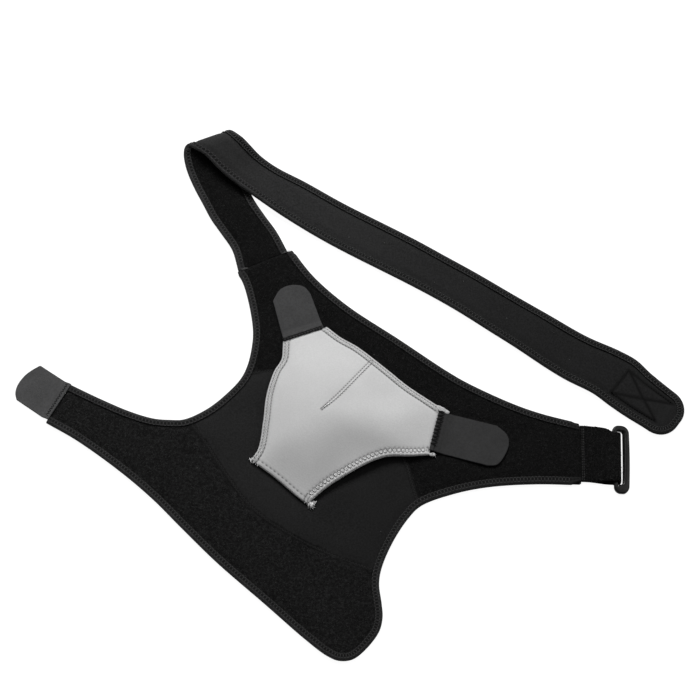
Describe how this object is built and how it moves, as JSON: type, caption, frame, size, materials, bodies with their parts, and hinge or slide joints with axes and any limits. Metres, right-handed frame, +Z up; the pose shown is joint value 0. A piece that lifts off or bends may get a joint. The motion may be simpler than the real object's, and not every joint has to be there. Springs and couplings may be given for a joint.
{
  "type": "shoulder brace",
  "caption": "Flat-laid shoulder brace: bound black panels, domed grey shoulder pad with hook tabs, long bound strap rolled over on itself, and a ring on a webbing loop.",
  "frame": {"origin": "middle of the whole brace's outline as it lies flat, on the table under it", "axes": "+X to the right, from the arm panel to the ring; +Y away, from the panels' lower point to the rolled strap; +Z up"},
  "size_m": [0.6638, 0.5577, 0.0283],
  "materials": {
    "loop_cloth": "brushed loop cloth, near black, matt",
    "jersey": "fine knit over neoprene, dark grey, matt",
    "binding_tape": "folded knit tape with zigzag stitches, dark grey",
    "hook_tape": "fine moulded hooks on woven tape, grey",
    "pad_cloth": "fine woven cloth over a thin pad, light grey, matt",
    "ring_plastic": "moulded black plastic, soft gloss"
  },
  "bodies": {
    "brace": {"arm_panel": "loop_cloth", "centre_panel": "jersey", "chest_panel": "loop_cloth", "arm_hole_binding": "binding_tape", "top_binding": "binding_tape", "lower_binding": "binding_tape", "arm_hook_tab": "hook_tape", "shoulder_pad": "pad_cloth", "pad_hook_tab_top": "hook_tape", "pad_hook_tab_side": "hook_tape", "chest_strap": "jersey", "strap_binding": "binding_tape", "strap_hook_patch": "hook_tape", "buckle_webbing": "loop_cloth"},
    "ring": {"buckle_ring": "ring_plastic"}
  },
  "joints": [
    {"name": "ring_swing", "type": "hinge", "parent": "brace", "child": "ring", "pos_m": [0.2615, -0.074, 0.0046], "axis": [0, -1, 0], "range_deg": [-80, 130]}
  ]
}
